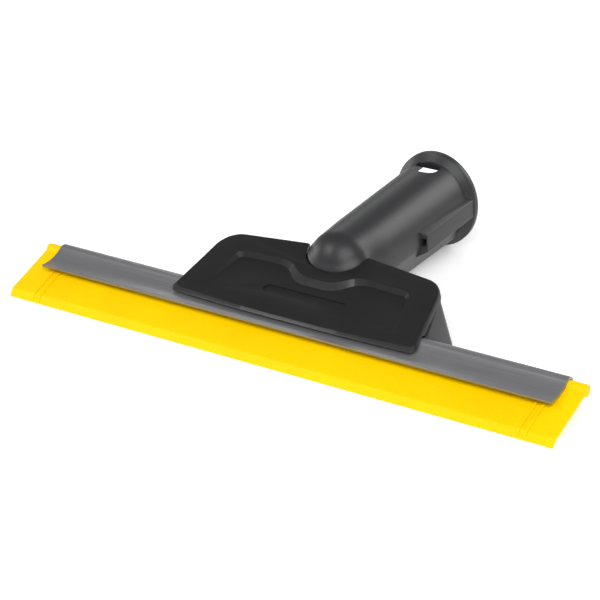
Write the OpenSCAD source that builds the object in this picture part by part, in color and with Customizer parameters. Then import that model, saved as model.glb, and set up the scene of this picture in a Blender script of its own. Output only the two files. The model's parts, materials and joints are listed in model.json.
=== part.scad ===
// Window squeegee head for a steam cleaner: a silicone blade in a grey rail, a black face
// plate over a moulded head, and a tube with a collar that takes the steam gun's nozzle.
// It lies as it rests on a table, blade lip and collar on z = 0: +X along the blade,
// +Y towards the tube's mouth, +Z up. Sizes are in millimetres.

/* [Blade] */
// Length of the silicone blade
blade_l = 250; // [200:5:300]
// Thickness of the blade's web
blade_t = 1.5; // [1.2:0.1:2]
// Distance from the bend to the middle of the bead
blade_depth = 26; // [24:0.5:28]
// Diameter of the bead along the blade's back edge
bead_d = 4.8; // [4.2:0.1:5.4]
// Height of the bead above the web's upper face
bead_rise = 1.3; // [1:0.1:1.6]
// Thickness of the wiping lip
lip_t = 1.1; // [0.8:0.1:1.4]
// Length of the wiping lip
lip_l = 3; // [2:0.5:5]
// Angle of the lip below the web
lip_angle = 35; // [20:5:50]
// Pitch of the blade as the tool lies on a table
blade_pitch = 19.2; // [15:0.2:24]

/* [Blade ribs] */
// Width of a stop rib
rib_w = 1.2; // [0.8:0.1:2]
// Height of a stop rib above the web
rib_h = 0.6; // [0.4:0.1:0.7]
// Distance from the blade's end to the outer rib
rib_inset = 11.5; // [8:0.5:20]
// Distance between the two ribs of a pair
rib_pitch = 3.1; // [2:0.1:5]

/* [Rail] */
// How far the blade sticks out of the rail at each end
blade_over = 7.5; // [2:0.5:30]
// Thickness of the rail's wall
rail_t = 1; // [0.8:0.1:1.3]
// Gap round the bead in the rail
bead_gap = 0.2; // [0.1:0.05:0.3]
// Gap between the web and the rail's two lips
web_gap = 0.4; // [0.3:0.05:0.6]
// Distance from the bead to the tip of the rail's upper lip
rail_reach = 13.8; // [12:0.2:15]
// Radius of the hollow in the rail's upper lip
rail_arc = 17; // [15:0.5:20]
// Length of each fixing tab behind the rail
tab_reach = 12; // [11:0.5:13]
// Width of each fixing tab
tab_w = 12; // [10:1:16]
// Distance from the middle tab to each outer one
tab_pitch = 34; // [28:1:38]

/* [Face plate] */
// Width of the plate along its lower edge
plate_w = 113.8; // [100:0.2:130]
// Thickness of the plate
plate_t = 3.2; // [2.8:0.1:4]
// Slope of the plate's face
plate_slope = 21.2; // [18:0.2:24]
// Height of the plate's sides, measured up the slope
side_h = 35.6; // [32:0.1:40]
// Height of the plate at its middle notch
mid_h = 39.9; // [37:0.1:44]
// How far each side leans in towards the plate's top
side_lean = 6.3; // [2:0.1:12]
// Depth of the recess at its upper edge
recess_depth = 2; // [1:0.1:2]
// Depth of the plain pill-shaped badge pocket
badge_depth = 0.5; // [0.3:0.1:0.7]

/* [Head] */
// Wall thickness of the head
wall = 2.2; // [1.8:0.1:2.8]
// Height of the head's underside above the table
base_z = 2.5; // [2:0.1:3.5]
// Thickness of the base cover
cover_t = 2.4; // [2:0.1:3]

/* [Tube] */
// Rise of the tube towards its mouth
tube_tilt = 2.4; // [1:0.1:4]
// Distance from the blade's bend to the tube's mouth
mouth_y = 133; // [120:1:150]
// Bore of the socket for the steam gun's nozzle
bore_d = 29; // [27:0.5:29.5]
// Depth of the socket's bore
bore_l = 50; // [45:1:52]
// Wall of the tube at its sides
tube_side = 2.3; // [2.2:0.1:3]
// Wall of the tube at its top and bottom
tube_top = 4.3; // [4:0.1:5]
// Scale of the tube's section where the nose begins
tube_taper = 0.925; // [0.9:0.005:1]
// How far the collar stands out from the tube
collar_out = 2.4; // [1.5:0.1:3]
// Thickness of the collar's rim
collar_t = 2.9; // [2:0.1:4]
// Width of the catch window in the tube's top
catch_w = 11; // [8:0.5:12]
// Length of the catch window
catch_l = 9; // [6:0.5:10]

/* [Steam way] */
// Outside diameter of the steam duct
duct_d = 16; // [14:0.5:18]
// Bore of the steam duct
duct_bore = 9; // [7:0.5:10]
// Length of the nozzle bar along the blade
bar_l = 52; // [46:1:56]
// Number of steam slots
slot_n = 5; // [3:1:6]

/* [Hidden] */
eps = 0.01;
fine = 96;                              // segments of round walls
soft = 32;                              // segments inside a hull
slab = 0.4;                             // thickness of the end slabs of a hull

// Blade and rail, in the pitched frame: y from the bend to the bead, z off the web's top
rail_l = blade_l - 2 * blade_over;
lip_low = lip_l * sin(lip_angle + blade_pitch) + lip_t / 2 * (1 + cos(blade_pitch));
bead_z = bead_rise - bead_d / 2;
ring_in = bead_d / 2 + bead_gap;
ring_out = ring_in + rail_t;
hollow_y = 5.4;                         // lowest line of the upper lip's hollow, from the bead
hollow_z = 0.35;                        // more air over the web there
arc_y = blade_depth - hollow_y;
arc_z = rail_t + web_gap + hollow_z + rail_arc;
tip_y = blade_depth - rail_reach;
rib_y = 13.8;                           // where a rib starts, under the rail's lip
tab_z = bead_z - ring_out;              // underside of the tabs
tab_end = 3;                            // from a tab's hole to its end
tab_hole_y = blade_depth + tab_reach - tab_end;
tab_root = ring_in * 0.6;               // where a tab leaves the rail's ring
tab_x = [-tab_pitch, 0, tab_pitch];
seat_gap = 0.4;                         // between the rail and the parts around it

// Screws: thin self-tapping ones with flat heads
screw_d = 2.9;
head_d = 5.4;
head_h = 1.6;
head_sink = head_h / 2;                 // how deep a head sits in the base cover
cross_l = 3;                            // the cross in a screw's head
cross_w = 0.7;
cross_h = 0.9;
hole_gap = 0.05;                        // shank in its pilot hole
pass_d = screw_d + 0.4;                 // clearance hole
grip = 4;                               // length of thread in the plastic
pilot = 4.2;                            // depth of its pilot hole

// Face plate, in its own sloping frame: x across, y up the slope, z off the face
plate_y0 = 17;
plate_z0 = 13.14;
flush_y = 5.5;                          // where the recess runs out
recess_top = 28.4;
top_half_w = plate_w / 2 - side_lean;
recess_half = plate_w / 2 - 16.9;
recess_tilt = atan(recess_depth / (recess_top - flush_y));
notch_half = 12;
notch_low = 27;
bow = 2.3;                              // how far the lower edge bows forward in the middle
bow_end = 1.1;                          // and at its ends
plate_screw_x = top_half_w - 8.6;
plate_screw_xy = [[-plate_screw_x, 31], [plate_screw_x, 31], [-27, 31], [27, 31]];
plate_boss_d = 6;
screw_skin = 1.2;                       // plate left over the end of a screw
badge_l = 34;
badge_h = 4.6;
badge_y = 12.2;
nose_gap = 0.35;

// Head and base cover, on the table
cover_gap = 0.15;
rim = 1.4;                              // wall left round the base cover
cover_x0 = plate_w / 2 - 7.4;
cover_x1 = plate_w * 0.31;
cover_screw_xy = [[-cover_x0, 37], [cover_x0, 37], [-cover_x1, 52], [cover_x1, 52]];
cover_boss_d = 6.4;
front_y = blade_depth * cos(blade_pitch) + ring_out + seat_gap;   // front wall, behind the rail
rear_y = 72;
seat_low = 9.5;                         // lower edge of the plate's seat
boss_l = 20;                            // bosses and ribs reach up into the head's roof

// Tube, in a frame along its axis: x across, y up, z from the mouth into the head
tube_rx = bore_d / 2 + tube_side;       // half sizes at the mouth
tube_ry = bore_d / 2 + tube_top;
collar_rise = 0.2;                      // the collar's middle is this far above the tube's
collar_rx = tube_rx + collar_out;
collar_ry = tube_ry + collar_out;
mouth_z = (collar_ry - collar_rise) * cos(tube_tilt) + collar_t * sin(tube_tilt);
nose_z = (mouth_y - 56) / cos(tube_tilt);
nose_l = 13;
cone_l = 2.3;                           // slanted front face of the collar
pad_l = 41;
pad_x = tube_rx + 1.7;
pad_root = tube_rx - 2.8;
groove_w = 14;                          // the way in for the catch, under the tube's top
groove_top = tube_ry - 2.8;
passage_d = duct_d + 6;
passage_z = (mouth_y - 49.5) / cos(tube_tilt);
bar_back_z = (mouth_y - 56) / cos(tube_tilt);
catch_z = 7;
flange_t = 3;
seal_t = 2;
seal_w = 4.5;                           // width of the socket seal's ring
retainer_t = 1.6;
retainer_w = 2;                         // width of the retainer's ring inside the bore
retainer_grip = 0.6;                    // how deep it springs into its groove
retainer_cut = 4;
spigot_l = 4;
spigot_gap = 0.05;
spigot_d = duct_bore + 3;
seal_gap = 1;                           // how far the inlet's boss stands off the bar

// Nozzle bar
gasket_t = 1;
bar_y0 = 44;
bar_y1 = 56;
bar_z0 = base_z + cover_t + gasket_t;
bar_h = 6.5;
bar_wall = 1.8;
gasket_w = 2.4;
riser_w = duct_d + 1;
riser_y = 50.5;
riser_top = mouth_z - bar_back_z * sin(tube_tilt) + spigot_d / 2 + 0.5;
riser_bore = 4;
riser_bore_y = bar_y1 - 2.9;
riser_bore_h = 12;
slot_w = 6;
slot_t = 1.6;
slot_pitch = 9;
slot_y = (bar_y0 + bar_y1) / 2 - 1;
rib_x = 18;                             // ribs that hold the bar down

// The origin is in the middle of the outline on the table
rib_end = 0.4;                          // how far a rib stops short of the lip's edge
front_reach = (lip_l - rib_end) * cos(lip_angle + blade_pitch) - lip_t / 2 * sin(blade_pitch)
  + (lip_t / 2 + rib_h) * sin(lip_angle + blade_pitch);
origin_y = (mouth_y + (collar_ry - collar_rise) * sin(tube_tilt) - front_reach) / 2;

module centred() translate([0, -origin_y, 0]) children();
module along_x(l) rotate([90, 0, 90]) translate([0, 0, -l / 2]) linear_extrude(l) children();
module on_blade() translate([0, 0, lip_low]) rotate([blade_pitch, 0, 0]) children();
module on_plate() translate([0, plate_y0, plate_z0]) rotate([plate_slope, 0, 0]) children();
module on_tube() translate([0, mouth_y, mouth_z]) rotate([90 + tube_tilt, 0, 0]) children();

// Corner p of an outline, between its neighbours a and b, rounded to radius r
function unit(v) = v / norm(v);
function turn(d) = d > 180 ? d - 360 : d < -180 ? d + 360 : d;
function corner(a, p, b, r, n = 8) =
  let (u = unit(a - p), v = unit(b - p), half = acos(u * v) / 2,
       c = p + unit(u + v) * r / sin(half),
       s = p + u * r / tan(half) - c, e = p + v * r / tan(half) - c,
       a0 = atan2(s[1], s[0]), da = turn(atan2(e[1], e[0]) - a0))
  r == 0 ? [p] : [for (i = [0:n]) c + r * [cos(a0 + da * i / n), sin(a0 + da * i / n)]];
function rounded(p, r, n = 8) = let (m = len(p))
  [for (i = [0:m - 1]) each corner(p[(i + m - 1) % m], p[i], p[(i + 1) % m], r[i], n)];
function mirrored(p) = [for (i = [len(p) - 1:-1:0]) [-p[i][0], p[i][1]]];
function flipped(r) = [for (i = [len(r) - 1:-1:0]) r[i]];
function both(p) = concat(p, mirrored(p));
function both_r(r) = concat(r, flipped(r));

plate_half = [[20, -bow], [plate_w / 2, -bow_end], [top_half_w, side_h], [notch_half + 1.2, mid_h],
  [notch_half, notch_low]];
plate_r = [600, 3, 10.5, 1.5, 11.4];
recess_half_pts = [[recess_half + 5, flush_y - 3], [recess_half, recess_top - 1.6],
  [16, recess_top + 0.2], [7, 21.8]];
recess_r = [0, 3.5, 4, 5];
seat_half = [[plate_w / 2 - 0.9, seat_low], [top_half_w - 0.4, side_h - 0.4]];
base_half = [[plate_w / 2 + 0.3, front_y], [plate_w / 2 + 0.4, 46], [plate_w * 0.37, 61],
  [16, rear_y + 1]];
base_r = [2, 8, 10, 5];

function inset(p, d, y0) = [for (q = p) [q[0] - d, max(q[1] - d, y0)]];

module blade_outline() {
  translate([0, -blade_t]) square([blade_depth, blade_t]);
  translate([0, -blade_t / 2]) circle(blade_t / 2, $fn = fine);
  translate([blade_depth, bead_z]) circle(bead_d / 2, $fn = fine);
  translate([0, -lip_t / 2]) rotate(180 + lip_angle) {
    translate([0, -lip_t / 2]) square([lip_l, lip_t]);
    translate([lip_l, 0]) circle(lip_t / 2, $fn = fine);
  }
}

module rib_outline() {
  translate([0, -blade_t / 2]) square([rib_y, blade_t / 2 + rib_h]);
  translate([rib_y, 0]) circle(rib_h, $fn = fine);
  translate([0, -blade_t / 2]) circle(blade_t / 2 + rib_h, $fn = fine);
  translate([0, -lip_t / 2]) rotate(180 + lip_angle)
    translate([0, -lip_t / 2 - rib_h]) square([lip_l - rib_end, lip_t / 2 + rib_h]);
}

module squeegee_blade() {
  color("gold") centred() on_blade() {
    along_x(blade_l) blade_outline();
    for (s = [-1, 1], k = [0, 1])
      translate([s * (blade_l / 2 - rib_inset - k * rib_pitch), 0, 0]) along_x(rib_w) rib_outline();
  }
}

// Everything under the rail's upper surface, grown by g all round
module rail_room(g) {
  translate([blade_depth, bead_z]) circle(ring_out + g, $fn = fine);
  difference() {
    translate([tip_y - 1 - g, -blade_t - ring_out]) square([rail_reach + 1 + g, 2 * ring_out + blade_t + 2]);
    translate([arc_y, arc_z]) circle(rail_arc - g, $fn = fine * 2);
  }
}

module rail_outline() {
  difference() {
    union() {
      translate([blade_depth, bead_z]) circle(ring_out, $fn = fine);
      intersection() {
        translate([arc_y, arc_z]) difference() {
          circle(rail_arc + rail_t, $fn = fine * 2);
          circle(rail_arc, $fn = fine * 2);
        }
        translate([tip_y, 0]) square([rail_reach, rail_arc / 2]);
      }
    }
    translate([blade_depth, bead_z]) circle(ring_in, $fn = fine);
    translate([tip_y - 1, -blade_t - web_gap])
      square([rail_reach + 1, blade_t + 2 * web_gap]);
  }
}

module tab_blank(grow) {
  for (x = tab_x)
    translate([x - tab_w / 2 - grow, blade_depth + tab_root, tab_z - grow])
      cube([tab_w + 2 * grow, tab_reach - tab_root + grow, rail_t + grow]);
}

module blade_rail() {
  color("#787a7c") centred() on_blade() difference() {
    union() {
      along_x(rail_l) rail_outline();
      tab_blank(0);
    }
    along_x(rail_l) translate([blade_depth, bead_z]) circle(ring_in, $fn = fine);
    for (x = tab_x) translate([x, tab_hole_y, tab_z - 1]) cylinder(rail_t + 2, d = pass_d, $fn = fine);
  }
}

// Outside of the tube with its rounded nose, grown by g
module tube_section(g) scale([tube_rx + g, tube_ry + g]) circle(1, $fn = 2 * soft);

module tube_blank(g) {
  on_tube() hull() {
    linear_extrude(slab) tube_section(g);
    translate([0, 0, nose_z]) linear_extrude(slab) scale(tube_taper) tube_section(g);
    translate([0, 0, nose_z]) scale([tube_taper * tube_rx + g, tube_taper * tube_ry + g, nose_l + g])
      sphere(1, $fn = 2 * soft);
  }
}

module face_plate() {
  color("#2b2b2c") centred() difference() {
    on_plate() {
      translate([0, 0, -plate_t]) linear_extrude(plate_t)
        polygon(rounded(both(plate_half), both_r(plate_r)));
      for (p = plate_screw_xy) translate([p[0], p[1], -plate_t - wall])
        cylinder(wall + 1, d = plate_boss_d, $fn = fine);
    }
    on_plate() {
      translate([0, flush_y, 0]) rotate([-recess_tilt, 0, 0]) translate([0, -flush_y, 0]) {
        linear_extrude(plate_t) polygon(rounded(both(recess_half_pts), both_r(recess_r)));
        translate([0, badge_y, -badge_depth]) linear_extrude(plate_t) badge_outline();
      }
      for (p = plate_screw_xy) translate([p[0], p[1], -plate_t - wall - 1])
        cylinder(wall + plate_t, d = screw_d + 2 * hole_gap, $fn = fine);
    }
    on_blade() along_x(rail_l) rail_room(seat_gap);
    tube_blank(nose_gap);
  }
}

module badge_outline() {
  square([badge_l, badge_h], center = true);
  for (s = [-1, 1]) translate([s * badge_l / 2, 0]) circle(d = badge_h, $fn = fine);
}

// Block of the head between the plate's seat and the base, its walls moved in by d
module head_blank(d, low) {
  hull() {
    on_plate() translate([0, 0, -plate_t - d - slab]) linear_extrude(slab)
      polygon(rounded(both(inset(seat_half, d, seat_low + 2.2 * d)), both_r([2, 10])));
    translate([0, 0, low]) linear_extrude(slab)
      polygon(rounded(both(inset(base_half, d, front_y + 1.1 * d)), both_r(base_r)));
  }
}

module pad() {
  root_half = 6.5;
  face_half = 3.8;
  end_l = 2.6;
  hull() {
    translate([pad_root, -root_half, 1]) cube([slab, 2 * root_half, pad_l + end_l - 1]);
    translate([pad_x - slab, -face_half, 1]) cube([slab, 2 * face_half, pad_l - 1]);
  }
}

module collar() {
  translate([0, collar_rise, 0]) hull() {
    linear_extrude(collar_t) scale([collar_rx, collar_ry]) circle(1, $fn = 2 * soft);
    linear_extrude(collar_t + cone_l) scale([collar_rx - cone_l, collar_ry - cone_l])
      circle(1, $fn = 2 * soft);
  }
}

module head_body() {
  color("#5c5d5f") centred() difference() {
    union() {
      head_blank(0, base_z);
      tube_blank(0);
      on_tube() {
        collar();
        for (s = [0, 1]) mirror([s, 0, 0]) pad();
      }
    }
    difference() {
      head_blank(wall, base_z);
      bosses();
    }
    cover_room();
    on_tube() {
      translate([0, 0, -1]) cylinder(bore_l + 1, d = bore_d, $fn = fine);
      cylinder(passage_z, d = passage_d, $fn = fine);
      translate([0, 0, bore_l - flange_t - seal_t - retainer_t])
        cylinder(retainer_t, d = bore_d + 2 * retainer_grip, $fn = fine);
      translate([-catch_w / 2, 0, catch_z]) cube([catch_w, collar_ry + 2, catch_l - catch_w / 2]);
      translate([-groove_w / 2, 0, -1]) cube([groove_w, groove_top, catch_z + catch_l + 1]);
      translate([0, 0, catch_z + catch_l - catch_w / 2]) rotate([-90, 0, 0])
        cylinder(collar_ry + 2, d = catch_w, $fn = fine);
    }
    on_blade() {
      along_x(rail_l) rail_room(seat_gap);
      tab_blank(seat_gap / 2);
      for (x = tab_x) translate([x, tab_hole_y, tab_z + rail_t - eps])
        cylinder(pilot, d = screw_d + 2 * hole_gap, $fn = fine);
    }
    on_plate() for (p = plate_screw_xy) translate([p[0], p[1], -plate_t - wall - 4])
      cylinder(wall + 6, d = plate_boss_d + 0.2, $fn = fine);
    for (p = cover_screw_xy) translate([p[0], p[1], base_z - 1])
      cylinder(cover_t + grip + 2, d = screw_d + 2 * hole_gap, $fn = fine);
  }
}

// The base cover's outline, grown by g, and the room for it under the head
module cover_outline(g) {
  polygon(rounded(both(inset(base_half, rim - g, front_y + rim - g)), both_r(base_r)));
}

module cover_room() {
  translate([0, 0, -1]) linear_extrude(base_z + cover_t + 1) cover_outline(cover_gap);
}

// Inside the head: bosses over the rail's tabs and the base cover, and ribs on the nozzle bar
module bosses() {
  on_blade() for (x = tab_x) translate([x - tab_w / 2, tab_hole_y - tab_end, tab_z + rail_t])
    cube([tab_w, 2 * tab_end, boss_l]);
  for (p = cover_screw_xy) translate([p[0], p[1], base_z + cover_t])
    cylinder(boss_l, d = cover_boss_d, $fn = fine);
  for (s = [-1, 1]) translate([s * rib_x - wall / 2, bar_y0 + 2, bar_z0 + bar_h])
    cube([wall, bar_h, boss_l]);
}

module base_cover() {
  color("#4c4d4f") centred() difference() {
    translate([0, 0, base_z]) linear_extrude(cover_t) cover_outline(0);
    for (p = cover_screw_xy) translate([p[0], p[1], base_z - 1]) {
      cylinder(cover_t + 2, d = pass_d, $fn = fine);
      cylinder(1 + head_sink, d = head_d + 0.6, $fn = fine);
    }
    steam_slots(base_z - 1, cover_t + 2);
  }
}

module steam_slots(z0, h) {
  for (i = [0:slot_n - 1]) translate([(i - (slot_n - 1) / 2) * slot_pitch - slot_w / 2, slot_y, z0])
    cube([slot_w, slot_t, h]);
}

module nozzle_gasket() {
  color("#1d1d1e") centred() difference() {
    translate([-bar_l / 2, bar_y0, base_z + cover_t]) cube([bar_l, bar_y1 - bar_y0, gasket_t]);
    translate([-bar_l / 2 + gasket_w, bar_y0 + gasket_w, base_z])
      cube([bar_l - 2 * gasket_w, bar_y1 - bar_y0 - 2 * gasket_w, bar_h]);
  }
}

module nozzle_bar() {
  color("#38393b") centred() difference() {
    union() {
      translate([-bar_l / 2, bar_y0, bar_z0]) cube([bar_l, bar_y1 - bar_y0, bar_h]);
      translate([-riser_w / 2, riser_y, bar_z0]) cube([riser_w, bar_y1 - riser_y, riser_top - bar_z0]);
      on_tube() translate([0, 0, bar_back_z - seal_gap]) cylinder(seal_gap + 2, d = duct_d, $fn = fine);
    }
    translate([-bar_l / 2 + bar_wall, bar_y0 + bar_wall, bar_z0 - 1])
      cube([bar_l - 2 * bar_wall, bar_y1 - bar_y0 - 2 * bar_wall, bar_h + 1 - bar_wall]);
    on_tube() translate([0, 0, bar_back_z - spigot_l]) cylinder(2 * spigot_l - 1, d = spigot_d, $fn = fine);
    translate([0, riser_bore_y, bar_z0]) cylinder(riser_bore_h, d = riser_bore, $fn = fine);
  }
}

module inlet_seal() {
  color("#1d1d1e") centred() on_tube() translate([0, 0, bar_back_z - 2 * seal_t + 1]) difference() {
    cylinder(seal_t, d = duct_d, $fn = fine);
    translate([0, 0, -1]) cylinder(seal_t + 2, d = spigot_d, $fn = fine);
  }
}

module steam_duct() {
  duct_end = bar_back_z - seal_t - seal_gap;
  color("#2f3032") centred() on_tube() difference() {
    union() {
      translate([0, 0, bore_l - flange_t]) cylinder(flange_t, d = bore_d - 0.2, $fn = fine);
      translate([0, 0, bore_l - flange_t]) cylinder(duct_end - bore_l + flange_t, d = duct_d, $fn = fine);
      cylinder(bar_back_z + spigot_l - 1.6, d = spigot_d - 2 * spigot_gap, $fn = fine);
    }
    translate([0, 0, -1]) cylinder(bar_back_z + spigot_l + 2, d = duct_bore, $fn = fine);
    translate([0, 0, -1]) cylinder(bore_l - flange_t + 1, d = bore_d, $fn = fine);
  }
}

module socket_seal() {
  color("#1d1d1e") centred() on_tube() translate([0, 0, bore_l - flange_t - seal_t]) difference() {
    cylinder(seal_t, d = bore_d, $fn = fine);
    translate([0, 0, -1]) cylinder(seal_t + 2, d = bore_d - 2 * seal_w, $fn = fine);
  }
}

module seal_retainer() {
  color("silver") centred() on_tube() translate([0, 0, bore_l - flange_t - seal_t - retainer_t])
  difference() {
    cylinder(retainer_t, d = bore_d + 2 * retainer_grip, $fn = fine);
    translate([0, 0, -1]) cylinder(retainer_t + 2, d = bore_d - 2 * retainer_w, $fn = fine);
    translate([-retainer_cut / 2, 0, -1]) cube([retainer_cut, bore_d, retainer_t + 2]);
  }
}

// A screw with its head's seat at z = 0 and its shank along +z
module screw(l) {
  difference() {
    translate([0, 0, -head_h]) cylinder(head_h, d = head_d, $fn = fine);
    for (a = [0, 90]) rotate(a) translate([-cross_l / 2, -cross_w / 2, -head_h - 1])
      cube([cross_l, cross_w, cross_h + 1]);
  }
  cylinder(l, d = screw_d, $fn = fine);
}

module rail_screws() {
  color("silver") centred() on_blade() for (x = tab_x) translate([x, tab_hole_y, tab_z])
    screw(rail_t + grip);
}

module plate_screws() {
  color("silver") centred() on_plate() for (p = plate_screw_xy)
    translate([p[0], p[1], -plate_t - wall]) screw(wall + plate_t - screw_skin);
}

module cover_screws() {
  color("silver") centred() for (p = cover_screw_xy) translate([p[0], p[1], base_z + head_sink])
    screw(cover_t + grip);
}

squeegee_blade();
blade_rail();
face_plate();
head_body();
base_cover();
steam_duct();
socket_seal();
seal_retainer();
nozzle_bar();
nozzle_gasket();
inlet_seal();
rail_screws();
plate_screws();
cover_screws();
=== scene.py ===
import json
import math
import bmesh
import bpy
from mathutils import Matrix, Vector


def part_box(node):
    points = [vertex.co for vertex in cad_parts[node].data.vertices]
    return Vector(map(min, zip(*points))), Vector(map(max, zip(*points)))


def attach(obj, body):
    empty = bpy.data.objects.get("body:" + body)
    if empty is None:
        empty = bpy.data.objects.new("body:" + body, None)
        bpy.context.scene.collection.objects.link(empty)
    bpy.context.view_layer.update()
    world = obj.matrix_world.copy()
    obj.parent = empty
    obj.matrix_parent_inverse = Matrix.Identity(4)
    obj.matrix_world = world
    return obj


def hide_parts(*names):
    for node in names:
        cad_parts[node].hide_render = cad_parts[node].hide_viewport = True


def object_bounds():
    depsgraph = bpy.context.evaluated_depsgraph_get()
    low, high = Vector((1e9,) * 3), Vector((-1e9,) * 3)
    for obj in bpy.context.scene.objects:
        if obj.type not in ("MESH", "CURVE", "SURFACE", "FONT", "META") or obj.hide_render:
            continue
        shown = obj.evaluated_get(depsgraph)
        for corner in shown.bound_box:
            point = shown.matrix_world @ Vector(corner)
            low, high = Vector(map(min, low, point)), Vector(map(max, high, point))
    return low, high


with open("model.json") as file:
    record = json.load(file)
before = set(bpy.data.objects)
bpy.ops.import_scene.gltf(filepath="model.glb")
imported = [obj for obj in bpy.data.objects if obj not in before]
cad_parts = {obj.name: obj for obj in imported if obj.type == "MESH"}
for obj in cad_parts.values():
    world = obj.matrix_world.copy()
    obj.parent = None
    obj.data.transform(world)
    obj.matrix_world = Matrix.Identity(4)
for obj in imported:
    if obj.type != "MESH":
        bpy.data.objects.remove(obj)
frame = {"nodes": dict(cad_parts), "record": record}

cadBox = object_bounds()
mm = 0.001
print("frame loaded,", len(frame["nodes"]), "nodes")

# Boxes and the socket, from the frame; the pieces' own places are worked out from these
bladeLow, bladeHigh = (Vector(c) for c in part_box("squeegee_blade"))
coverLow, coverHigh = (Vector(c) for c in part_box("base_cover"))
railLow, railHigh = (Vector(c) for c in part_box("blade_rail"))
socket = frame["record"]["mounts"][0]
tubeOut = Vector(socket["axis"]).normalized()


def turnX(angle):
    return Matrix.Rotation(math.radians(angle), 4, "X")


# Turns an outline's x to +Y and its y to +Z, so that it is carried along +X
alongX = Matrix(((0, 0, 1, 0), (1, 0, 0, 0), (0, 1, 0, 0), (0, 0, 0, 1)))


# Outlines, in mm
def corner(before, at, after, radius, steps=10):
    before, at, after = Vector(before), Vector(at), Vector(after)
    if radius == 0:
        return [at]
    u, v = (before - at).normalized(), (after - at).normalized()
    half = u.angle(v) / 2
    centre = at + (u + v).normalized() * radius / math.sin(half)
    start = at + u * radius / math.tan(half) - centre
    end = at + v * radius / math.tan(half) - centre
    a = math.atan2(start.y, start.x)
    sweep = (math.atan2(end.y, end.x) - a + math.pi) % (2 * math.pi) - math.pi
    return [centre + radius * Vector((math.cos(a + sweep * i / steps), math.sin(a + sweep * i / steps)))
            for i in range(steps + 1)]


def rounded(points, radii, steps=10):
    count = len(points)
    out = []
    for i in range(count):
        out += corner(points[i - 1], points[i], points[(i + 1) % count], radii[i], steps)
    return out


def bothSides(points):
    return list(points) + [(-x, y) for x, y in reversed(points)]


def symmetric(points, radii, steps=10):    # a whole outline from its right half's corners
    return rounded(bothSides(points), radii + radii[::-1], steps)


def arc(centre, radius, start, end, steps):
    turn = [math.radians(start + (end - start) * i / steps) for i in range(steps + 1)]
    return [Vector((centre[0] + radius * math.cos(a), centre[1] + radius * math.sin(a))) for a in turn]


def angleOf(centre, point):
    return math.degrees(math.atan2(point[1] - centre[1], point[0] - centre[0]))


def crossing(c1, r1, c2, r2):     # the crossing of two circles with the smaller x
    c1, c2 = Vector(c1), Vector(c2)
    gap = (c2 - c1).length
    along = (r1 * r1 - r2 * r2 + gap * gap) / (2 * gap)
    side = math.sqrt(r1 * r1 - along * along)
    u = (c2 - c1) / gap
    found = [c1 + u * along + Vector((-u.y, u.x)) * side, c1 + u * along - Vector((-u.y, u.x)) * side]
    return min(found, key=lambda p: p.x)


# Modelling steps
def only(obj):
    if bpy.context.mode != "OBJECT":
        bpy.ops.object.mode_set(mode="OBJECT")
    bpy.ops.object.select_all(action="DESELECT")
    obj.select_set(True)
    bpy.context.view_layer.objects.active = obj


def edit(obj, kind="FACE"):
    only(obj)
    bpy.ops.object.mode_set(mode="EDIT")
    bpy.ops.mesh.select_mode(type=kind)
    bpy.ops.mesh.select_all(action="DESELECT")


def pick(obj, kind, test):        # kind is verts, edges or faces of the mesh in edit mode
    mesh = bmesh.from_edit_mesh(obj.data)
    chosen = [e for e in getattr(mesh, kind) if test(e)]
    for e in chosen:
        e.select_set(True)
    bmesh.update_edit_mesh(obj.data)
    return len(chosen)


def outlined(name, points):       # a filled circle whose corners are moved onto the outline
    bpy.ops.object.select_all(action="DESELECT")
    bpy.ops.mesh.primitive_circle_add(vertices=len(points), fill_type="NGON", location=(0, 0, 0))
    obj = bpy.context.object
    obj.name = name
    for vertex, p in zip(obj.data.vertices, points):
        vertex.co = Vector((p[0], p[1], 0)) * mm
    return obj


def outwards(obj):
    edit(obj)
    bpy.ops.mesh.select_all(action="SELECT")
    bpy.ops.mesh.remove_doubles(threshold=0.002 * mm)
    bpy.ops.mesh.normals_make_consistent(inside=False)
    bpy.ops.object.mode_set(mode="OBJECT")


def extruded(name, points, low, high, place=None):   # a prism from the outline, low to high in mm
    obj = outlined(name, points)
    edit(obj)
    bpy.ops.mesh.select_all(action="SELECT")
    bpy.ops.transform.translate(value=(0, 0, low * mm))
    bpy.ops.mesh.extrude_region_move(TRANSFORM_OT_translate={"value": (0, 0, (high - low) * mm)})
    outwards(obj)
    if place is not None:
        obj.data.transform(place)
    outwards(obj)
    return obj


def applyAll(obj):
    only(obj)
    for modifier in list(obj.modifiers):
        bpy.ops.object.modifier_apply(modifier=modifier.name)


def combine(obj, other, how="DIFFERENCE"):
    step = obj.modifiers.new("combine", "BOOLEAN")
    step.operation = how
    step.object = other
    step.solver = "EXACT"
    applyAll(obj)
    bpy.data.objects.remove(other)


def soften(obj, width, segments=3, angle=35):        # width in mm
    step = obj.modifiers.new("soften", "BEVEL")
    step.width = width * mm
    step.segments = segments
    step.limit_method = "ANGLE"
    step.angle_limit = math.radians(angle)
    step.harden_normals = False
    applyAll(obj)


def rod(name, radius, low, high, place, vertices=96):    # a round cutter
    bpy.ops.object.select_all(action="DESELECT")
    bpy.ops.mesh.primitive_cylinder_add(
        vertices=vertices, radius=radius * mm, depth=(high - low) * mm, location=(0, 0, 0))
    obj = bpy.context.object
    obj.name = name
    obj.data.transform(place @ Matrix.Translation((0, 0, (low + high) / 2 * mm)))
    return obj


def brick(name, lowCorner, highCorner, place):
    bpy.ops.object.select_all(action="DESELECT")
    bpy.ops.mesh.primitive_cube_add(size=1, location=(0, 0, 0))
    obj = bpy.context.object
    obj.name = name
    low, high = Vector(lowCorner) * mm, Vector(highCorner) * mm
    obj.data.transform(place @ Matrix.Translation((low + high) / 2) @ Matrix.Diagonal((*(high - low), 1)))
    return obj


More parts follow.
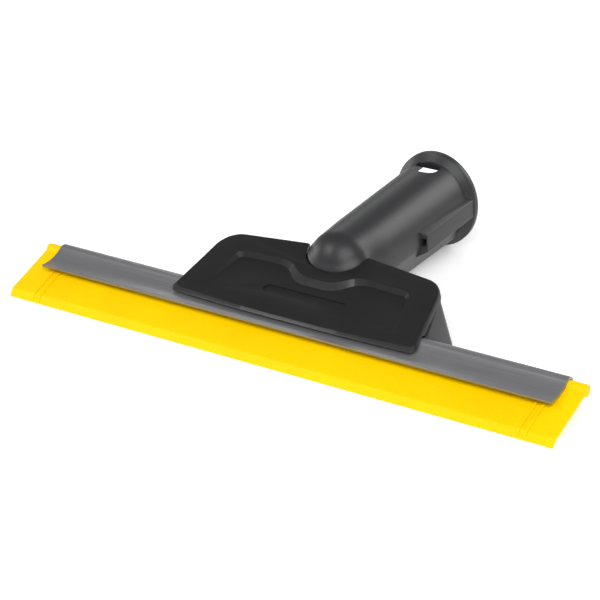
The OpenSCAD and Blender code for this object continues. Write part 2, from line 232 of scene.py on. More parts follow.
def finished(obj, body, slotName, materials, *nodes):
    only(obj)
    bpy.ops.object.shade_smooth_by_angle(angle=math.radians(28))
    if not obj.data.materials:
        for material in materials:
            obj.data.materials.append(material)
    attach(obj, body)
    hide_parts(*nodes)
    print("made", obj.name, len(obj.data.polygons), "faces")


# Materials
def linear(code):                 # sRGB hex to linear
    parts = [int(code[i:i + 2], 16) / 255 for i in (1, 3, 5)]
    return tuple(c / 12.92 if c <= 0.04045 else ((c + 0.055) / 1.055) ** 2.4 for c in parts) + (1,)


def newMaterial(name, roughness, metallic=0.0, ior=1.5):
    material = bpy.data.materials.new(name)
    material.use_nodes = True
    shader = material.node_tree.nodes["Principled BSDF"]
    shader.inputs["Roughness"].default_value = roughness
    shader.inputs["Metallic"].default_value = metallic
    shader.inputs["IOR"].default_value = ior
    return material, shader


def node(material, kind, values=(), links=(), **settings):
    new = material.node_tree.nodes.new(kind)
    for key, value in settings.items():
        setattr(new, key, value)
    for key, value in dict(values).items():
        new.inputs[key].default_value = value
    for key, source in dict(links).items():
        material.node_tree.links.new(source, new.inputs[key])
    return new


def join(material, source, target):
    material.node_tree.links.new(source, target)


def mouldedPlastic(name, dark, light, roughness, grain, depth, ior=1.49, gleam=0.5):
    # Moulded in a spark-eroded tool: a fine even grain breaks up the gloss, and the colour clouds a little
    material, shader = newMaterial(name, roughness, ior=ior)
    place = node(material, "ShaderNodeTexCoord").outputs["Object"]
    shader.inputs["Specular IOR Level"].default_value = gleam
    fine = node(material, "ShaderNodeTexNoise",
                {"Scale": 1 / (grain * mm), "Detail": 3.0, "Roughness": 0.6},
                {"Vector": place}).outputs["Fac"]
    cloud = node(material, "ShaderNodeTexNoise", {"Scale": 1 / (22 * mm), "Detail": 2.0},
                 {"Vector": place}).outputs["Fac"]
    mixed = node(material, "ShaderNodeMath", {1: 0.55}, {0: fine}, operation="MULTIPLY").outputs[0]
    both = node(material, "ShaderNodeMath", {1: 0.45}, {0: cloud, 2: mixed},
                operation="MULTIPLY_ADD").outputs[0]
    ramp = node(material, "ShaderNodeValToRGB", (), {"Fac": both})
    ramp.color_ramp.elements[0].position = 0.3
    ramp.color_ramp.elements[0].color = linear(dark)
    ramp.color_ramp.elements[1].position = 0.7
    ramp.color_ramp.elements[1].color = linear(light)
    join(material, ramp.outputs["Color"], shader.inputs["Base Color"])
    gloss = node(material, "ShaderNodeMapRange", {"To Min": roughness - 0.05, "To Max": roughness + 0.06},
                 {"Value": both}).outputs["Result"]
    join(material, gloss, shader.inputs["Roughness"])
    bump = node(material, "ShaderNodeBump", {"Strength": 0.5, "Distance": depth * mm}, {"Height": fine})
    join(material, bump.outputs["Normal"], shader.inputs["Normal"])
    return material


# Silicone, compression moulded: saturated yellow, satin skin, faint flow clouds, a little light inside
silicone = mouldedPlastic("siliconeMoulded", "#F5C600", "#FFD200", 0.42, 0.9, 0.01, ior=1.41, gleam=0.12)
siliconeShader = silicone.node_tree.nodes["Principled BSDF"]
siliconeShader.inputs["Subsurface Weight"].default_value = 0.12
siliconeShader.inputs["Subsurface Radius"].default_value = (0.9 * mm, 0.6 * mm, 0.1 * mm)
siliconeShader.inputs["Subsurface Scale"].default_value = 1.0

# ABS, moulded in a textured tool: near black, matt, with a fine grain on the faces
absTextured = mouldedPlastic("absTextured", "#131314", "#1C1C1D", 0.5, 0.45, 0.03, ior=1.53, gleam=0.28)

# The same ABS where the tool was polished, on chamfers and the recess's wall: dark gloss that is real, plus
# a lighter base colour that is a painted highlight for the reflections these faces catch
absPolishedPaintedSheen = mouldedPlastic("absPolishedPaintedSheen", "#262627", "#2D2D2E", 0.3, 1.2, 0.004, ior=1.53)

# Polypropylene, moulded with a dull fine grain: dark grey, with soft wide highlights
polypropylene = mouldedPlastic("polypropyleneMoulded", "#242426", "#2D2D2F", 0.4, 0.5, 0.03, ior=1.49,
                               gleam=0.4)

# Nylon, moulded smooth for the parts in the steam's way
nylon = mouldedPlastic("nylonMoulded", "#2A2B2D", "#35363A", 0.38, 0.6, 0.015, ior=1.53)

# Rubber seals, moulded: flat black with a dusty bloom
rubber = mouldedPlastic("rubberMoulded", "#18181A", "#242426", 0.72, 0.4, 0.03, ior=1.52)


def drawnMetal(name, dark, light, roughness, line, metallic=1.0):
    # Drawn or extruded: fine lines along the length spread the highlight across them
    material, shader = newMaterial(name, roughness, metallic)
    place = node(material, "ShaderNodeTexCoord").outputs["Object"]
    drawn = node(material, "ShaderNodeMapping", {"Scale": (0.02, 1, 1)}, {"Vector": place}).outputs["Vector"]
    lines = node(material, "ShaderNodeTexNoise",
                 {"Scale": 1 / (line * mm), "Detail": 4.0, "Roughness": 0.6},
                 {"Vector": drawn}).outputs["Fac"]
    haze = node(material, "ShaderNodeTexNoise", {"Scale": 1 / (14 * mm), "Detail": 3.0},
                {"Vector": place}).outputs["Fac"]
    ramp = node(material, "ShaderNodeValToRGB", (), {"Fac": lines})
    ramp.color_ramp.elements[0].position = 0.3
    ramp.color_ramp.elements[0].color = linear(dark)
    ramp.color_ramp.elements[1].position = 0.7
    ramp.color_ramp.elements[1].color = linear(light)
    join(material, ramp.outputs["Color"], shader.inputs["Base Color"])
    gloss = node(material, "ShaderNodeMapRange", {"To Min": roughness - 0.06, "To Max": roughness + 0.06},
                 {"Value": haze}).outputs["Result"]
    join(material, gloss, shader.inputs["Roughness"])
    bump = node(material, "ShaderNodeBump", {"Strength": 0.4, "Distance": 0.012 * mm}, {"Height": lines})
    join(material, bump.outputs["Normal"], shader.inputs["Normal"])
    return material


# Aluminium, extruded, beaded and anodised grey: satin, with the die's lines along it
aluminium = drawnMetal("aluminiumAnodised", "#8C8C8E", "#98989A", 0.38, 0.5, metallic=0.75)
# Spring steel strip, rolled bright
springSteel = drawnMetal("springSteelRolled", "#A9A9AB", "#BDBDBF", 0.28, 0.3)
# Steel screws, zinc plated: pale and slightly blue
zincSteel = drawnMetal("steelZincPlated", "#AEB1B5", "#C2C4C8", 0.32, 0.3)
print("materials made")


# Blade: one moulding, its section carried along +X, with two pairs of ribs
blade = {
    "thick": 1.5,         # mm, as every size in these dictionaries
    "depth": 26.0,        # bend to bead
    "beadR": 2.4,
    "beadRise": 1.3,
    "lipThick": 1.1,
    "lipLong": 3.0,
    "lipAngle": 35.0,     # degrees below the web
    "pitch": 19.2,        # degrees, as it lies on a table
    "ribWide": 1.2,
    "ribHigh": 0.6,
    "ribInset": 11.5,
    "ribPitch": 3.1,
    "ribLong": 13.8,
    "ribShort": 0.4,      # the rib stops this far before the lip's edge
    "softEdge": 0.12,
    "ribSoftEdge": 0.25,
}

lipTurn = math.radians(blade["lipAngle"] + blade["pitch"])
lipRise = (blade["lipLong"] * math.sin(lipTurn)
           + blade["lipThick"] / 2 * (1 + math.cos(math.radians(blade["pitch"]))))
lipReach = ((blade["lipLong"] - blade["ribShort"]) * math.cos(lipTurn)
            - blade["lipThick"] / 2 * math.sin(math.radians(blade["pitch"]))
            + (blade["lipThick"] / 2 + blade["ribHigh"]) * math.sin(lipTurn))
bend = Vector((0, bladeLow.y + lipReach * mm, bladeLow.z + lipRise * mm))
onBlade = Matrix.Translation(bend) @ turnX(blade["pitch"])
onTable = Matrix.Translation((0, bend.y, 0))


def bladeOutline():
    t, r = blade["thick"], blade["beadR"]
    centre = (blade["depth"], blade["beadRise"] - r)
    top = math.sqrt(r * r - centre[1] ** 2)
    under = math.sqrt(r * r - (t + centre[1]) ** 2)
    lip = math.radians(180 + blade["lipAngle"])
    lipDir = Vector((math.cos(lip), math.sin(lip)))
    half = blade["lipThick"] / 2
    tip = Vector((0, -half)) + lipDir * blade["lipLong"]
    down = Vector((-lipDir.y, lipDir.x))
    inner = tip + down * half
    inner = inner - lipDir * ((-t - inner.y) / -lipDir.y)
    a = blade["lipAngle"]
    webTop = angleOf((0, 0), (-top, -centre[1]))
    webUnder = -180 + angleOf((0, 0), (under, t + centre[1]))
    return (arc(centre, r, webTop, webUnder, 28)
            + [inner]
            + arc(tip, half, -90 + a, -90 - 180 + a, 8)
            + arc((0, -t / 2), t / 2, 90 + a, 90, 4))


def ribOutline():
    t, h, long = blade["thick"], blade["ribHigh"], blade["ribLong"]
    lip = math.radians(180 + blade["lipAngle"])
    lipDir = Vector((math.cos(lip), math.sin(lip)))
    up = Vector((lipDir.y, -lipDir.x))
    half = blade["lipThick"] / 2
    end = Vector((0, -half)) + lipDir * (blade["lipLong"] - blade["ribShort"])
    return ([(long, -t / 2), (long + h, 0)]
            + arc((long, 0), h, 0, 90, 6)[1:]
            + arc((0, -t / 2), t / 2 + h, 90, 90 + blade["lipAngle"], 5)
            + [end + up * (half + h * 0.8), end + up * (half + h * 0.4) + lipDir * 0.2, end, (0, -t / 2)])


bladeHalf = (bladeHigh.x - bladeLow.x) / 2 / mm
squeegeeBlade = extruded("squeegeeBlade", bladeOutline(), -bladeHalf, bladeHalf, onBlade @ alongX)
soften(squeegeeBlade, blade["softEdge"], 2, 50)
for side in (-1, 1):
    for k in (0, 1):
        x = side * (bladeHalf - blade["ribInset"] - k * blade["ribPitch"])
        rib = extruded("rib", ribOutline(), x - blade["ribWide"] / 2, x + blade["ribWide"] / 2,
                       onBlade @ alongX)
        soften(rib, blade["ribSoftEdge"], 3, 50)
        combine(squeegeeBlade, rib, "UNION")
finished(squeegeeBlade, "blade", "yellow_silicone", [silicone], "squeegee_blade")


# Rail: a hollow upper lip rolled into a channel round the bead, and three tabs behind it
rail = {
    "thick": 1.0,
    "beadGap": 0.2,
    "webGap": 0.4,
    "reach": 13.8,
    "arcR": 17.0,
    "arcBack": 5.4,              # lowest line of the hollow, in front of the bead
    "arcRise": 1.75,
    "fillet": 1.6,
    "tab": (12.0, 12.0, 34.0),   # width, length and pitch of the tabs
    "tabRoot": 0.6,              # share of the channel's radius where a tab starts
    "tabEnd": 3.0,               # from a tab's hole to its end
    "tabHoleR": 1.65,
    "tabSoftEdge": 0.2,
    "seatGap": 0.4,
    "plateGap": 0.8,             # shadow line under the plate's front edge
    "softEdge": 0.18,
}

beadAt = (blade["depth"], blade["beadRise"] - blade["beadR"])
channelIn = blade["beadR"] + rail["beadGap"]
channelOut = channelIn + rail["thick"]
arcAt = (blade["depth"] - rail["arcBack"], rail["arcRise"] + rail["arcR"])
tipY = blade["depth"] - rail["reach"]


def railOutline():
    upper, under, f = rail["arcR"], rail["arcR"] + rail["thick"], rail["fillet"]
    tipTop = (tipY, arcAt[1] - math.sqrt(upper ** 2 - (arcAt[0] - tipY) ** 2))
    tipUnder = (tipY, arcAt[1] - math.sqrt(under ** 2 - (arcAt[0] - tipY) ** 2))
    filletAt = crossing(beadAt, channelOut + f, arcAt, upper - f)
    toArc = angleOf(arcAt, filletAt)
    toRing = angleOf(filletAt, beadAt)
    slotLow = -blade["thick"] - rail["webGap"] - beadAt[1]
    slotHigh = rail["webGap"] - beadAt[1]
    outLow = math.degrees(math.asin(slotLow / channelOut))
    inLow = math.degrees(math.asin(slotLow / channelIn))
    inHigh = math.degrees(math.asin(slotHigh / channelIn))
    outHigh = math.degrees(math.asin(slotHigh / channelOut))
    meet = crossing(beadAt, channelOut, arcAt, under)
    return (arc(arcAt, upper, angleOf(arcAt, tipTop), toArc, 20)
            + arc(filletAt, f, toArc, toRing, 6)[1:]
            + arc(beadAt, channelOut, angleOf(beadAt, filletAt), -180 - outLow, 40)[1:]
            + arc(beadAt, channelIn, -180 - inLow, 180 - inHigh, 40)
            + arc(beadAt, channelOut, 180 - outHigh, angleOf(beadAt, meet), 3)
            + arc(arcAt, under, angleOf(arcAt, meet), angleOf(arcAt, tipUnder), 16)[1:])


def railRoom(gap, half):          # the room that the rail takes, grown by gap
    upper = rail["arcR"] - gap
    ring = channelOut + gap
    meet = crossing(beadAt, ring, arcAt, upper)
    low = beadAt[1] - ring - 2
    front = tipY - 1 - gap
    tipTop = (front, arcAt[1] - math.sqrt(upper ** 2 - (arcAt[0] - front) ** 2))
    points = ([(front, low)] + arc(arcAt, upper, angleOf(arcAt, tipTop), angleOf(arcAt, meet), 24)
              + arc(beadAt, ring, angleOf(beadAt, meet), -90, 40)[1:] + [(beadAt[0], low)])
    return extruded("railRoom", points, -half, half, onBlade @ alongX)


railHalf = (railHigh.x - railLow.x) / 2 / mm
bladeRail = extruded("bladeRail", railOutline(), -railHalf, railHalf, onBlade @ alongX)
soften(bladeRail, rail["softEdge"], 2, 40)
tabWide, tabLong, tabPitch = rail["tab"]
tabLow = beadAt[1] - channelOut
tabHole = blade["depth"] + tabLong - rail["tabEnd"]
for k in (-1, 0, 1):
    root = blade["depth"] + rail["tabRoot"] * channelIn
    tab = brick("tab", (k * tabPitch - tabWide / 2, root, tabLow),
                (k * tabPitch + tabWide / 2, blade["depth"] + tabLong, tabLow + rail["thick"]), onBlade)
    soften(tab, rail["tabSoftEdge"], 2)
    combine(bladeRail, tab, "UNION")
    combine(bladeRail, rod("hole", rail["tabHoleR"], tabLow - 1, tabLow + 2,
                           onBlade @ Matrix.Translation((k * tabPitch * mm, tabHole * mm, 0))))
combine(bladeRail, rod("channel", channelIn, -railHalf - 1, railHalf + 1,
                       onBlade @ alongX @ Matrix.Translation((beadAt[0] * mm, beadAt[1] * mm, 0))))
finished(bladeRail, "head", "grey_aluminium", [aluminium], "blade_rail")


# Head: tube with its nose, collar and pads on a block that carries the sloping plate
plate = {
    "fromBend": (17.0, 9.637),   # lower edge of the face, behind and above the bend
    "slope": 21.2,
    "thick": 3.2,
    "face": [(20.0, -0.4), (55.7, 1.2), (50.4, 34.6), (13.4, 39.4), (12.4, 27.4)],
    "edge": [(20.0, -2.3), (56.9, -1.1), (50.6, 35.6), (13.2, 39.9), (12.0, 27.0)],
    "cornerR": [600, 3, 10.5, 1.5, 11.4],
    "lowDrop": 0.8,              # how far the bevelled edge falls along the bowed front
    "sideDrop": 0.6,             # and along the sides and the top
    "frontTo": (1.5, 3.0),       # where the front's bevel starts to change, and over what length
    "rim": [(44.6, 5.5), (40.0, 27.3), (16.2, 28.6), (7.2, 21.9)],
    "rimR": [0, 3.6, 13, 13],
    "floor": [(43.4, 5.5), (38.7, 25.8), (17.0, 27.0), (9.0, 18.6)],
    "floorR": [0, 2.6, 12, 12],
    "flush": 5.5,                # where the recess runs out
    "recessTilt": 4.99,          # degrees
    "badge": (17.0, 2.3, 12.2),  # half length, radius and place of the plain pill pocket
    "badgeDeep": 0.5,
    "screws": [(-42, 31), (42, 31), (-27, 31), (27, 31)],
    "bossR": 3.0,
    "bossSink": 0.5,
    "softEdge": 0.3,
}

tube = {
    "rx": 16.8, "ry": 18.8,      # semi-axes at the mouth
    "taper": 0.925,              # of the section where the nose begins
    "straight": 77.0,
    "nose": 13.0,
    "waist": 0.045,              # how much slimmer the sides get towards the nose
    "waistFrom": 62.0,
    "flat": 15.5,                # distance of the lower flats from the axis
    "flatTaper": 0.5,            # and how much nearer they come by the nose
    "flatTurn": 25.0,            # degrees the flats lean in
    "flare": 0.8,                # skirt round the nose where it meets the plate
    "flareHigh": 1.9, "flareLow": 4.0,
    "flareFade": (4.0, 6.0),     # where it starts behind the nose's middle, and over what length
    "bore": 14.5, "boreLong": 50.0,
    "passage": 11.0, "passageLong": 83.5,
    "retainer": (0.6, 43.4, 45.0),   # depth and ends of the retaining ring's groove
    "rim": (19.2, 21.2, 2.9),    # collar's semi-axes and thickness
    "rimRise": 0.2,              # its middle is this far above the tube's
    "groove": (7.0, 16.0),       # half width and top of the way in for the catch
    "cone": 2.3,
    "padOut": 18.5, "padLong": 41.0, "padEnd": 2.6,
    "padFace": 3.8, "padRoot": 6.5,
    "padIn": 13.5,               # the pad's inner side, inside the tube's wall
    "padSoftEdge": 0.35,
    "pocket": (12.0, -1.0, 2.3, 3.0),  # dark pocket in the pad's end: inner side, low, high, depth
    "catch": (5.5, 7.0, 16.0),   # half width of the catch window, and its two ends
}

head = {
    "wall": 2.2,
    "seat": [(56.0, 9.5), (50.2, 35.0)],
    "seatR": [2, 10],
    "base": [(57.2, 28.55), (57.3, 46), (42.1, 61), (16, 73)],
    "baseR": [2, 8, 10, 5],
    "rim": 1.4,                  # wall round the base cover
    "softEdge": 0.5,
    "seatInset": 2.2,            # how much faster the seat's lower edge moves in than its sides
    "baseInset": 1.1,
    "coverGap": 0.15,
    "bossHigh": 20.0,
    "coverBossR": 3.2,
    "coverScrews": [(-49.5, 37), (49.5, 37), (-35, 52), (35, 52)],
}

plateOrigin = bend + Vector((0, plate["fromBend"][0], plate["fromBend"][1])) * mm
onPlate = Matrix.Translation(plateOrigin) @ turnX(plate["slope"])
mouth = Vector(socket["pos_m"]) + tubeOut * socket["dims"]["length_mm"] / 2 * mm
onTube = Matrix.Translation(mouth) @ turnX(90 + math.degrees(math.asin(tubeOut.z)))


def lofted(name, rings):          # closed skin through rings of points with equal counts
    mesh = bmesh.new()
    rows = [[mesh.verts.new(p) for p in ring] for ring in rings]
    count = len(rows[0])
    for a, b in zip(rows, rows[1:]):
        for i in range(count):
            mesh.faces.new((a[i], a[(i + 1) % count], b[(i + 1) % count], b[i]))
    mesh.faces.new(list(reversed(rows[0])))
    mesh.faces.new(rows[-1])
    data = bpy.data.meshes.new(name)
    mesh.to_mesh(data)
    mesh.free()
    obj = bpy.data.objects.new(name, data)
    bpy.context.scene.collection.objects.link(obj)
    outwards(obj)
    return obj


def tubeRing(depth, grow=0.0, count=128):
    straight, nose = tube["straight"], tube["nose"] + grow
    scale = 1 + (tube["taper"] - 1) * min(depth / straight, 1)
    past = max(depth - straight, 0) / nose
    round_ = math.sqrt(max(1 - past * past, 0.0))
    flat = (tube["flat"] - tube["flatTaper"] * min(depth / straight, 1) + grow) * round_
    lean = math.radians(tube["flatTurn"])
    waist = min(max((depth - tube["waistFrom"]) / (straight - tube["waistFrom"]), 0), 1)
    slim = 1 - tube["waist"] * waist * waist * (3 - 2 * waist)
    points = []
    for i in range(count):
        a = 2 * math.pi * i / count
        x = (tube["rx"] * scale * slim + grow) * round_ * math.cos(a)
        y = (tube["ry"] * scale + grow) * round_ * math.sin(a)
        out = abs(x) * math.cos(lean) - y * math.sin(lean)
        if out > flat > 0:
            x, y = x * flat / out, y * flat / out
        points.append(onTube @ (Vector((x, y, depth)) * mm))
    return points


def tubeSkin(name, grow=0.0, flare=0.0):
    straight, nose = tube["straight"], tube["nose"] + grow
    depths = [0, 10, 20, 30, 40, 50] + [55 + 2 * i for i in range(11)]
    depths += [straight + nose * math.sin(math.radians(90 * i / 22)) for i in range(22)]
    skin = lofted(name, [tubeRing(d, grow) for d in depths + [straight + nose * 0.9995]])
    back = onPlate.inverted()
    start, length = tube["flareFade"]
    centre = back @ (onTube @ Vector((0, 0, straight * mm)))
    for vertex in skin.data.vertices:
        q = back @ vertex.co
        high = q.z / mm / tube["flareHigh"]
        ahead = min(max((centre.y / mm + start - q.y / mm) / length, 0), 1)
        if q.z > -tube["flareLow"] * mm and high < 1 and ahead > 0:
            push = flare * (1 - max(high, 0)) ** 2 * ahead * mm
            away = Vector((q.x, q.y - centre.y, 0)).normalized()
            vertex.co = onPlate @ (q + away * push)
    return skin


def hulled(name, outlineA, placeA, outlineB, placeB):    # ruled walls between two flat outlines
    a, b = outlined(name, outlineA), outlined(name + "B", outlineB)
    a.data.transform(placeA)
    b.data.transform(placeB)
    only(a)
    b.select_set(True)
    bpy.ops.object.join()
    edit(a, "VERT")
    bpy.ops.mesh.select_all(action="SELECT")
    bpy.ops.mesh.convex_hull()
    bpy.ops.mesh.select_all(action="SELECT")
    bpy.ops.mesh.dissolve_limited(angle_limit=math.radians(0.5))
    outwards(a)
    return a


def inset(points, d, lowest):
    return [(x - d, max(y - d, lowest)) for x, y in points]


def headBlock(name, d, low):
    seatHalf = inset(head["seat"], d, head["seat"][0][1] + head["seatInset"] * d)
    baseHalf = inset(head["base"], d, head["base"][0][1] + head["baseInset"] * d)
    seat, base = symmetric(seatHalf, head["seatR"]), symmetric(baseHalf, head["baseR"])
    seatPlace = onPlate @ Matrix.Translation((0, 0, -(plate["thick"] + d) * mm))
    return hulled(name, seat, seatPlace, base, onTable @ Matrix.Translation((0, 0, low * mm)))


def collarSolid():
    rx, ry, t = tube["rim"]
    cone, rise = tube["cone"], tube["rimRise"]
    rings = []
    # The rim's rounded edges and its slanted front face, as depth and step in from the rim
    for depth, dx in ((0, -0.5), (0.15, -0.15), (0.5, 0), (t - 0.3, 0), (t - 0.08, -0.08), (t, -0.2),
                      (t + cone, -cone), (t + cone + 1, -cone - 1.2)):
        turn = [2 * math.pi * i / 128 for i in range(128)]
        round_ = [Vector(((rx + dx) * math.cos(a), rise + (ry + dx) * math.sin(a), depth)) for a in turn]
        rings.append([onTube @ (p * mm) for p in round_])
    return lofted("collar", rings)


def padSolid(side):
    out, long, end = tube["padOut"], tube["padLong"], tube["padEnd"]
    face, root = tube["padFace"], tube["padRoot"]
    pad = brick("pad", (-1, -1, -1), (1, 1, 1), Matrix.Identity(4))
    for vertex in pad.data.vertices:
        isOut, isUp, isEnd = vertex.co.x > 0, vertex.co.y > 0, vertex.co.z > 0
        y = face if isOut else root
        z = (long if isOut else long + end) if isEnd else 1
        x = out if isOut else tube["padIn"]
        vertex.co = Vector((side * x, y if isUp else -y, z)) * mm
    outwards(pad)
    soften(pad, tube["padSoftEdge"], 3, 20)
    pocketIn, pocketLow, pocketHigh, pocketDeep = tube["pocket"]
    low, high = sorted((side * pocketIn, side * (out - 0.5)))
    combine(pad, brick("pocket", (low, pocketLow, long - pocketDeep), (high, pocketHigh, long + end + 1),
                       Matrix.Identity(4)))
    pad.data.transform(onTube)
    outwards(pad)
    return pad


headBody = headBlock("headBody", 0, coverLow.z / mm)
soften(headBody, head["softEdge"], 3, 30)
combine(headBody, tubeSkin("tube", 0, tube["flare"]), "UNION")
combine(headBody, collarSolid(), "UNION")
for side in (-1, 1):
    combine(headBody, padSolid(side), "UNION")
print("head joined", len(headBody.data.polygons))

cavity = headBlock("cavity", head["wall"], coverLow.z / mm)
bossLow = tabLow + rail["thick"]
bossHigh = bossLow + head["bossHigh"]
for k in (-1, 0, 1):
    combine(cavity, brick("boss", (k * tabPitch - tabWide / 2, tabHole - rail["tabEnd"], bossLow),
                          (k * tabPitch + tabWide / 2, tabHole + rail["tabEnd"], bossHigh), onBlade))
for x, y in head["coverScrews"]:
    combine(cavity, rod("boss", head["coverBossR"], coverHigh.z / mm, coverHigh.z / mm + head["bossHigh"],
                        onTable @ Matrix.Translation((x * mm, y * mm, 0)), 48))
combine(headBody, cavity)
coverIn = head["rim"] - head["coverGap"]
coverHalf = inset(head["base"], coverIn, head["base"][0][1] + coverIn)
coverRoom = extruded("coverRoom", symmetric(coverHalf, head["baseR"]), -1, coverHigh.z / mm, onTable)
combine(headBody, coverRoom)
combine(headBody, railRoom(rail["seatGap"], railHalf))
combine(headBody, rod("bore", tube["bore"], -1, tube["boreLong"], onTube))
combine(headBody, rod("passage", tube["passage"], 1, tube["passageLong"], onTube))
deep, low, high = tube["retainer"]
combine(headBody, rod("retainerGroove", tube["bore"] + deep, low, high, onTube))
half, start, far = tube["catch"]
windowPlace = onTube @ Matrix.Rotation(math.radians(-90), 4, "X")
roundAt = -(far - half)
window = ([(-half, -start), (-half, roundAt)] + arc((0, roundAt), half, 180, 360, 24)[1:-1]
          + [(half, roundAt), (half, -start)])
combine(headBody, extruded("window", window, 5, 24, windowPlace))
wide, top = tube["groove"]
combine(headBody, brick("groove", (-wide, 5, -1), (wide, top, far), onTube))
outwards(headBody)
finished(headBody, "head", "grey_polypropylene", [polypropylene], "head_body")


# Face plate: the right half of its skin with a bevelled edge, its thickness and a mirror copy
def rightHalf(points):
    return [p for p in points if p[0] > 0.01]


def plateRim(points):            # right half of a plate outline, from the middle of its front to its notch
    half = rightHalf(symmetric(points, plate["cornerR"], 14))
    return [Vector((0, half[0][1]))] + half + [Vector((0, points[4][1]))]


tilt = math.tan(math.radians(plate["recessTilt"]))


def bedHeight(vertex):            # of the recess's sloping floor at this vertex
    return -max(vertex.co.y - plate["flush"] * mm, 0) * tilt


def plateSkin():                  # flat face, sloping recess floor and pocket floor, not yet joined
    rim = rightHalf(symmetric(plate["rim"], plate["rimR"], 14)) + [Vector((0, plate["rim"][3][1]))]
    floor = rightHalf(symmetric(plate["floor"], plate["floorR"], 14)) + [Vector((0, plate["floor"][3][1]))]
    flush = plate["flush"]
    face = plateRim(plate["face"]) + rim[::-1] + [floor[0], Vector((0, flush))]
    badgeHalf, badgeR, badgeY = plate["badge"]
    pill = ([Vector((0, badgeY + badgeR))] + arc((badgeHalf, badgeY), badgeR, 90, -90, 16)
            + [Vector((0, badgeY - badgeR))])
    inner = [Vector((0, flush))] + floor + pill
    skin = outlined("facePlate", face)
    bed = outlined("bed", inner)
    pocket = outlined("pocket", pill)
    for part, deep in ((bed, 0), (pocket, plate["badgeDeep"])):
        for vertex in part.data.vertices:
            vertex.co.z = bedHeight(vertex) - deep * mm
    only(skin)
    bed.select_set(True)
    pocket.select_set(True)
    bpy.ops.object.join()
    return skin, rim, floor, pill


def isOn(vertex, points):
    flat = Vector((vertex.co.x / mm, vertex.co.y / mm))
    return any((flat - Vector(p)).length < 0.002 for p in points)


facePlate, rimLine, floorLine, pillLine = plateSkin()
edit(facePlate, "EDGE")
bpy.ops.mesh.select_all(action="SELECT")
bpy.ops.mesh.remove_doubles(threshold=0.001 * mm)
bpy.ops.mesh.select_all(action="DESELECT")
onRim = lambda v: isOn(v, rimLine) and abs(v.co.z) < 0.001 * mm
onFloor = lambda v: isOn(v, floorLine) and abs(v.co.z - bedHeight(v)) < 0.001 * mm
pick(facePlate, "edges", lambda e: e.is_boundary and (all(onRim(v) for v in e.verts)
                                                    or all(onFloor(v) for v in e.verts))
     and max(v.co.y for v in e.verts) > (plate["flush"] + 0.001) * mm)
bpy.ops.mesh.bridge_edge_loops()
print("bridged")
bpy.ops.mesh.select_all(action="DESELECT")
onBed = lambda v: isOn(v, pillLine) and v.co.z > bedHeight(v) - 0.1 * mm
inPocket = lambda v: isOn(v, pillLine) and v.co.z < bedHeight(v) - 0.1 * mm
pick(facePlate, "edges", lambda e: e.is_boundary and (all(onBed(v) for v in e.verts)
                                                    or all(inPocket(v) for v in e.verts))
     and max(v.co.x for v in e.verts) > 0.001 * mm)
bpy.ops.mesh.bridge_edge_loops()
bpy.ops.mesh.select_all(action="SELECT")
bpy.ops.mesh.remove_doubles(threshold=0.001 * mm)
bpy.ops.mesh.normals_make_consistent(inside=False)
bpy.ops.mesh.select_all(action="DESELECT")
pick(facePlate, "edges", lambda e: e.is_boundary and max(v.co.x for v in e.verts) > 0.001 * mm)
bpy.ops.mesh.extrude_region_move(TRANSFORM_OT_translate={"value": (0, 0, -plate["sideDrop"] * mm)})
# The copied rim moves out and down to the plate's edge, point by point, and leaves a bevel behind it
faceLine, edgeLine = plateRim(plate["face"]), plateRim(plate["edge"])
mesh = bmesh.from_edit_mesh(facePlate.data)
for vertex in [v for v in mesh.verts if v.select]:
    flat = Vector((vertex.co.x / mm, vertex.co.y / mm))
    at = min(range(len(faceLine)), key=lambda i: (faceLine[i] - flat).length)
    front = min(max(1 - (flat.y - plate["frontTo"][0]) / plate["frontTo"][1], 0), 1)
    drop = plate["sideDrop"] + (plate["lowDrop"] - plate["sideDrop"]) * front
    vertex.co = Vector((edgeLine[at].x, edgeLine[at].y, -drop)) * mm
bmesh.update_edit_mesh(facePlate.data)
bpy.ops.mesh.extrude_region_move(TRANSFORM_OT_translate={"value": (0, 0, -plate["thick"] * mm)})
mesh = bmesh.from_edit_mesh(facePlate.data)
for vertex in [v for v in mesh.verts if v.select]:
    vertex.co.z = -plate["thick"] * mm
bmesh.update_edit_mesh(facePlate.data)
bpy.ops.mesh.edge_face_add()
bpy.ops.object.mode_set(mode="OBJECT")
mirror = facePlate.modifiers.new("mirror", "MIRROR")
mirror.use_clip = True
mirror.merge_threshold = 0.002 * mm
applyAll(facePlate)
outwards(facePlate)
print("plate skin", len(facePlate.data.polygons))
soften(facePlate, plate["softEdge"], 3, 22)
facePlate.data.transform(onPlate)
combine(facePlate, railRoom(rail["plateGap"], railHalf + 1))
combine(facePlate, tubeSkin("noseRoom", tube["flare"] + 0.1))
for x, y in plate["screws"]:
    place = onPlate @ Matrix.Translation((x * mm, y * mm, 0))
    boss = rod("boss", plate["bossR"], -plate["thick"] - head["wall"], -plate["thick"] + plate["bossSink"],
               place, 48)
    combine(facePlate, boss, "UNION")
facePlate.data.materials.append(absTextured)
facePlate.data.materials.append(absPolishedPaintedSheen)
# Faces tilted off the plate's face, at its front and round the recess, take the lighter polished copy: a
# painted highlight on the chamfers and the recess's wall
up = (onPlate.to_3x3() @ Vector((0, 0, 1))).normalized()
toPlate = onPlate.inverted()
for face in facePlate.data.polygons:
    place = toPlate @ face.center / mm
    front, curve = place.y < 2, abs(place.x) < 15 and place.y > 15
    face.material_index = 1 if face.normal.dot(up) < 0.99 and (front or curve) else 0
finished(facePlate, "head", "black_abs", [], "face_plate")


# CAD nodes that keep their shape get their real finish
finishes = {
    "base_cover": polypropylene, "steam_duct": nylon, "nozzle_bar": nylon, "socket_seal": rubber,
    "nozzle_gasket": rubber, "inlet_seal": rubber, "seal_retainer": springSteel, "rail_screws": zincSteel,
    "plate_screws": zincSteel, "cover_screws": zincSteel,
}
for name, material in finishes.items():
    obj = frame["nodes"][name]
    for place in obj.material_slots:
        place.material = material
print("finishes set on", len(finishes), "kept nodes")


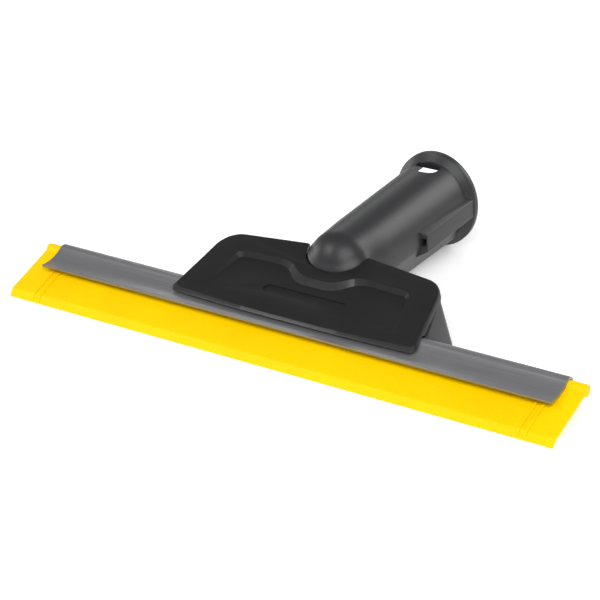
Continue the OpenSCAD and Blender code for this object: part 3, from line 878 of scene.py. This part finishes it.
# Floor, soft lights and camera
bpy.ops.object.select_all(action="DESELECT")
bpy.ops.mesh.primitive_plane_add(size=8, location=(0, 0, cadBox[0][2]))
floor = bpy.context.object
floor.name = "floor"
pale, paleShader = newMaterial("floorPaint", 0.9)
paleShader.inputs["Base Color"].default_value = linear("#FBFBFB")
paleShader.inputs["Emission Color"].default_value = linear("#FFFFFF")
paleShader.inputs["Emission Strength"].default_value = 0.22
floor.data.materials.append(pale)

world = bpy.data.worlds.new("studio")
bpy.context.scene.world = world
world.use_nodes = True
world.node_tree.nodes["Background"].inputs["Color"].default_value = linear("#FFFFFF")
world.node_tree.nodes["Background"].inputs["Strength"].default_value = 0.3


def softbox(name, place, target, size, watts):
    light = bpy.data.lights.new(name, "AREA")
    light.shape = "RECTANGLE"
    light.size, light.size_y = size
    light.energy = watts
    obj = bpy.data.objects.new(name, light)
    bpy.context.scene.collection.objects.link(obj)
    toward = Vector(target) - Vector(place)
    obj.matrix_world = Matrix.Translation(place) @ toward.to_track_quat("-Z", "Y").to_matrix().to_4x4()


softbox("keyFront", (0.9, -1.1, 1.3), (0, 0, 0), (1.6, 1.2), 29)
softbox("backRight", (0.75, 1.3, 0.8), (0, 0.02, 0), (0.5, 1.0), 11)
softbox("frontLeft", (-0.76, -0.86, 0.96), (0, 0, 0), (0.5, 0.35), 6)
softbox("left", (-1.4, -0.12, 0.2), (0, 0, 0.02), (0.6, 0.25), 3)
softbox("backLeft", (-0.76, 1.12, 0.62), (0, 0, 0.02), (0.7, 0.2), 1.2)

camera = {
    "place": (0.4450, -0.7003, 0.3976),
    "forward": (-0.5044, 0.7481, -0.4312),
    "right": (0.8354, 0.5491, -0.0248),
    "lens": 136.0,
    "sensor": 36.0,
}

data = bpy.data.cameras.new("camera")
data.lens = camera["lens"]
data.sensor_width = camera["sensor"]
data.clip_start = 0.01
eye = bpy.data.objects.new("camera", data)
bpy.context.scene.collection.objects.link(eye)
forward = Vector(camera["forward"]).normalized()
right = Vector(camera["right"]).normalized()
upward = right.cross(forward).normalized()
turn = Matrix((right, upward, -forward)).transposed().to_4x4()
eye.matrix_world = Matrix.Translation(camera["place"]) @ turn
bpy.context.scene.camera = eye
bpy.context.scene.view_settings.view_transform = "Standard"
print("stage set")
